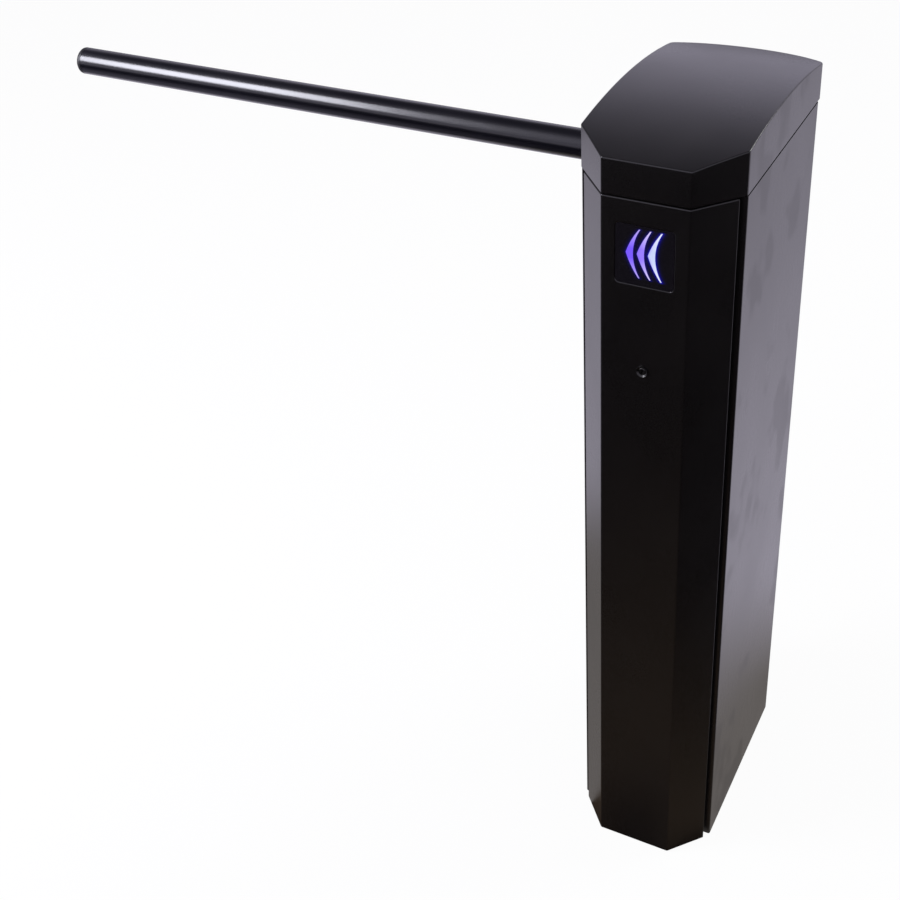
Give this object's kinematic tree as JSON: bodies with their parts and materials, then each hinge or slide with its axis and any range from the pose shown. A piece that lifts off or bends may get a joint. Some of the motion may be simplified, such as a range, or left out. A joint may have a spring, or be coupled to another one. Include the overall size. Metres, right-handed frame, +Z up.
{
  "type": "drop arm turnstile",
  "caption": "Slim floor cabinet with slanted front edges, an arched lid, a lit arrow window and a key lock, and a round barrier arm that drops into a slot in its side.",
  "frame": {"origin": "middle of the base tray's underside, on the floor", "axes": "+X to the right seen from the front, away from the arm; +Y to the back; +Z up"},
  "size_m": [0.918, 0.3375, 1],
  "materials": {
    "black_sheet": "satin powder coat on folded steel sheet",
    "black_tube": "gloss paint on round steel tube",
    "zinc_steel": "zinc plated steel",
    "gear_steel": "cut and oiled steel",
    "housing_metal": "cast and turned",
    "bronze": "plain bearing bronze",
    "chrome_lock": "plated",
    "black_rubber": "moulded",
    "seal_foam": "closed cell foam",
    "dark_pane": "smoked acrylic",
    "lit_arrow": "lit diffuser",
    "green_board": "solder mask",
    "black_plastic": "moulded",
    "motor_paint": "black motor can"
  },
  "bodies": {
    "cabinet": {"base_tray": "zinc_steel", "cable_grommet": "black_rubber", "left_side_panel": "black_sheet", "right_side_panel": "black_sheet", "slot_trim": "black_rubber", "cover_seals": "seal_foam", "rear_cover": "black_sheet", "lid": "black_sheet", "lid_brackets": "black_sheet", "lid_screws": "zinc_steel", "latch_bar": "zinc_steel", "latch_screws": "zinc_steel", "front_bearing_plate": "zinc_steel", "rear_bearing_plate": "zinc_steel", "plate_spacers": "zinc_steel", "spacer_screws": "zinc_steel", "panel_nuts": "zinc_steel", "plate_nuts": "zinc_steel", "rear_cover_nuts": "zinc_steel", "bearing_housings": "housing_metal", "shaft_bushes": "bronze", "rotary_damper": "housing_metal", "bearing_screws": "zinc_steel", "gearbox": "housing_metal", "gearbox_screws": "zinc_steel", "drive_motor": "motor_paint", "motor_brake": "motor_paint", "stop_sleeves": "black_rubber", "stop_pins": "zinc_steel", "position_sensors": "black_plastic", "control_board": "green_board", "board_standoffs": "housing_metal", "board_screws": "zinc_steel", "board_parts": "black_plastic", "power_supply": "zinc_steel"},
    "arm": {"arm_tube": "black_tube", "arm_end_cap": "black_plastic", "arm_pins": "gear_steel", "arm_hub": "gear_steel", "arm_shaft": "gear_steel", "shaft_key": "gear_steel", "shaft_rings": "gear_steel", "sector_gear": "gear_steel", "position_flag": "zinc_steel"},
    "pinion": {"drive_pinion": "gear_steel", "pinion_screw": "zinc_steel", "gearbox_shaft": "gear_steel"},
    "front_cover": {"front_cover": "black_sheet", "cover_hooks": "zinc_steel", "arrow_window": "dark_pane", "arrow_lights": "lit_arrow", "arrow_spacers": "black_plastic", "arrow_board": "green_board", "arrow_nuts": "zinc_steel", "lock_body": "chrome_lock", "lock_nut": "chrome_lock"},
    "lock": {"lock_plug": "chrome_lock", "lock_cam": "zinc_steel", "cam_nut": "zinc_steel"}
  },
  "joints": [
    {"name": "arm_drop", "type": "hinge", "parent": "cabinet", "child": "arm", "pos_m": [-0.06, 0, 0.915], "axis": [0, -1, 0], "range_deg": [0, 90]},
    {"name": "pinion_turn", "type": "hinge", "parent": "cabinet", "child": "pinion", "pos_m": [0.02, 0, 0.915], "axis": [0, -1, 0], "range_deg": [-270, 0]},
    {"name": "cover_tilt", "type": "hinge", "parent": "cabinet", "child": "front_cover", "pos_m": [0, -0.148, 0.02], "axis": [1, 0, 0], "range_deg": [0, 12]},
    {"name": "lock_turn", "type": "hinge", "parent": "front_cover", "child": "lock", "pos_m": [0, -0.15, 0.746], "axis": [0, -1, 0], "range_deg": [0, 90]}
  ],
  "couplings": [
    {"joint": "pinion_turn", "follows": "arm_drop", "ratio": -3}
  ]
}
